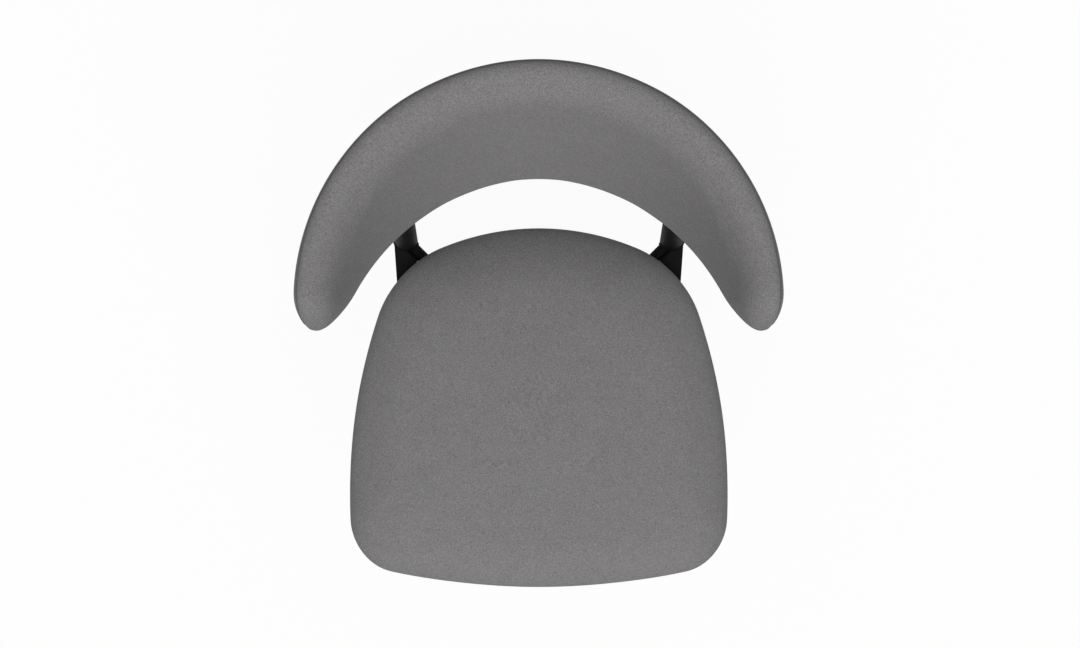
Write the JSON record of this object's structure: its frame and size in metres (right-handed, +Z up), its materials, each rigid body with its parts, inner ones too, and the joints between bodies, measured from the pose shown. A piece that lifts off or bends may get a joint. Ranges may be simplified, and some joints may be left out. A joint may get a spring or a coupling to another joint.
{
  "type": "side chair",
  "caption": "Upholstered side chair with a D-shaped padded seat and a low padded back that wraps round into short arms, on a black bent-tube steel frame.",
  "frame": {"origin": "on the floor, under the middle of the chair's outline seen from above", "axes": "+Z up, +Y towards the back of the chair, -Y towards the front edge of the seat, +X to the right seen from the front"},
  "size_m": [0.51, 0.5919, 0.7855],
  "materials": {
    "upholstery": "matte grey woven cloth",
    "foam": "open-cell foam",
    "lining": "thin black non-woven cloth",
    "plywood": "raw plywood",
    "frame": "satin black powder coat",
    "fastener": "zinc plated",
    "glide": "matte"
  },
  "bodies": {
    "root": {"back_bolts": "fastener", "back_core": "plywood", "back_cover": "upholstery", "back_foam_front": "foam", "back_foam_rear": "foam", "back_t_nuts": "fastener", "back_tongue_left": "frame", "back_tongue_right": "frame", "cross_arm_front_left": "frame", "cross_arm_front_right": "frame", "cross_arm_rear_left": "frame", "cross_arm_rear_right": "frame", "cross_hub": "frame", "front_leg_left": "frame", "front_leg_plate_left": "frame", "front_leg_plate_right": "frame", "front_leg_right": "frame", "glide_front_left": "glide", "glide_front_right": "glide", "glide_rear_left": "glide", "glide_rear_right": "glide", "hub_plate": "frame", "rear_leg_left": "frame", "rear_leg_right": "frame", "rear_seat_bracket_left": "frame", "rear_seat_bracket_right": "frame", "seat_board": "plywood", "seat_bolts": "fastener", "seat_cover": "upholstery", "seat_foam": "foam", "seat_lining": "lining", "seat_t_nuts": "fastener", "seat_washers": "fastener"}
  },
  "joints": []
}
